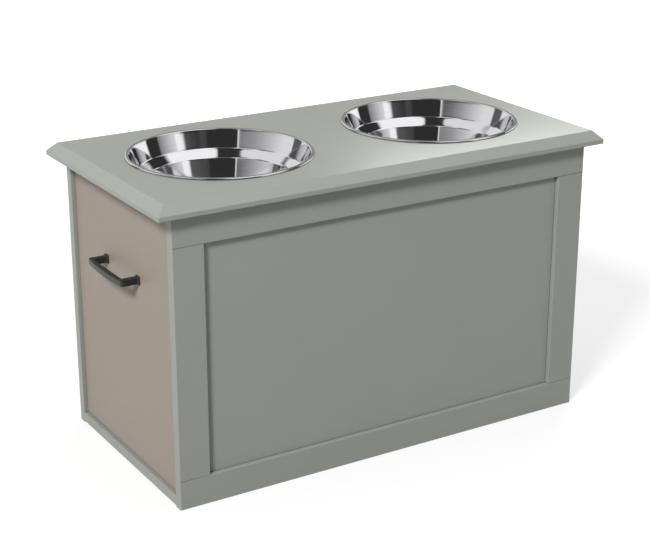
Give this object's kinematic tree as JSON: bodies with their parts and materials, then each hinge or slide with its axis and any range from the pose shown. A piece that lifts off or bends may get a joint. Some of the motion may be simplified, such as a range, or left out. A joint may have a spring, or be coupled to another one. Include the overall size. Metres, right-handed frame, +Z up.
{
  "type": "raised dog feeder with storage drawer",
  "caption": "Raised feeder for dogs: a framed cabinet with lift-out steel bowls sunk in its bevelled top and a storage drawer that pulls out of one end.",
  "frame": {"origin": "centre of the footprint, on the floor", "axes": "+X along the cabinet, away from the drawer's end; the framed front faces -Y and the framed back +Y; +Z up"},
  "size_m": [0.601, 0.308, 0.3645],
  "materials": {
    "sage_paint": "satin sage grey-green lacquer on fine fibreboard",
    "taupe_paint": "matt taupe lacquer on fine fibreboard",
    "bowl_steel": "polished stainless steel with fine turned lines",
    "black_metal": "matt black powder coat",
    "runner_enamel": "off-white epoxy coat on pressed steel",
    "nylon": "natural nylon",
    "zinc_steel": "zinc plated",
    "beech": "plain beech",
    "hardboard": "taupe faced hardboard"
  },
  "bodies": {
    "cabinet": {"tabletop": "sage_paint", "front_top_rail": "sage_paint", "front_bottom_rail": "sage_paint", "front_left_stile": "sage_paint", "front_right_stile": "sage_paint", "front_panel": "sage_paint", "back_top_rail": "sage_paint", "back_bottom_rail": "sage_paint", "back_left_stile": "sage_paint", "back_right_stile": "sage_paint", "back_panel": "sage_paint", "bottom_board": "sage_paint", "end_panel": "sage_paint", "frame_dowels": "beech", "top_dowels": "beech", "cabinet_cam_bolts": "zinc_steel", "cabinet_cam_locks": "zinc_steel", "runner_channel_front": "runner_enamel", "runner_channel_back": "runner_enamel", "channel_screws": "zinc_steel", "channel_rivets": "zinc_steel"},
    "drawer": {"drawer_front": "taupe_paint", "drawer_side_front": "taupe_paint", "drawer_side_back": "taupe_paint", "drawer_back": "taupe_paint", "drawer_floor": "hardboard", "drawer_handle": "black_metal", "handle_screws": "zinc_steel", "drawer_cam_bolts": "zinc_steel", "drawer_cam_locks": "zinc_steel", "drawer_back_screws": "zinc_steel", "drawer_rail_front": "runner_enamel", "drawer_rail_back": "runner_enamel", "rail_screws": "zinc_steel", "rail_rivets": "zinc_steel"},
    "bowl_left": {"bowl_left": "bowl_steel"},
    "bowl_right": {"bowl_right": "bowl_steel"},
    "channel_roller_front": {"channel_roller_front": "nylon"},
    "channel_roller_back": {"channel_roller_back": "nylon"},
    "rail_roller_front": {"rail_roller_front": "nylon"},
    "rail_roller_back": {"rail_roller_back": "nylon"}
  },
  "joints": [
    {"name": "drawer_slide", "type": "slide", "parent": "cabinet", "child": "drawer", "axis": [-1, 0, 0], "range_m": [0, 0.375]},
    {"name": "bowl_left_lift", "type": "slide", "parent": "cabinet", "child": "bowl_left", "axis": [0, 0, 1], "range_m": [0, 0.1]},
    {"name": "bowl_right_lift", "type": "slide", "parent": "cabinet", "child": "bowl_right", "axis": [0, 0, 1], "range_m": [0, 0.1]},
    {"name": "channel_roller_front_spin", "type": "hinge", "parent": "cabinet", "child": "channel_roller_front", "pos_m": [-0.2515, -0.1243, 0.0267], "axis": [0, -1, 0], "range_deg": [0, 2690]},
    {"name": "rail_roller_front_spin", "type": "hinge", "parent": "drawer", "child": "rail_roller_front", "pos_m": [0.2245, -0.1233, 0.0238], "axis": [0, -1, 0], "range_deg": [0, 2690]},
    {"name": "channel_roller_back_spin", "type": "hinge", "parent": "cabinet", "child": "channel_roller_back", "pos_m": [-0.2515, 0.1243, 0.0267], "axis": [0, -1, 0], "range_deg": [0, 2690]},
    {"name": "rail_roller_back_spin", "type": "hinge", "parent": "drawer", "child": "rail_roller_back", "pos_m": [0.2245, 0.1233, 0.0238], "axis": [0, -1, 0], "range_deg": [0, 2690]}
  ],
  "couplings": [
    {"joint": "channel_roller_front_spin", "follows": "drawer_slide", "rad_per_m": 125},
    {"joint": "rail_roller_front_spin", "follows": "drawer_slide", "rad_per_m": 125},
    {"joint": "channel_roller_back_spin", "follows": "drawer_slide", "rad_per_m": 125},
    {"joint": "rail_roller_back_spin", "follows": "drawer_slide", "rad_per_m": 125}
  ]
}
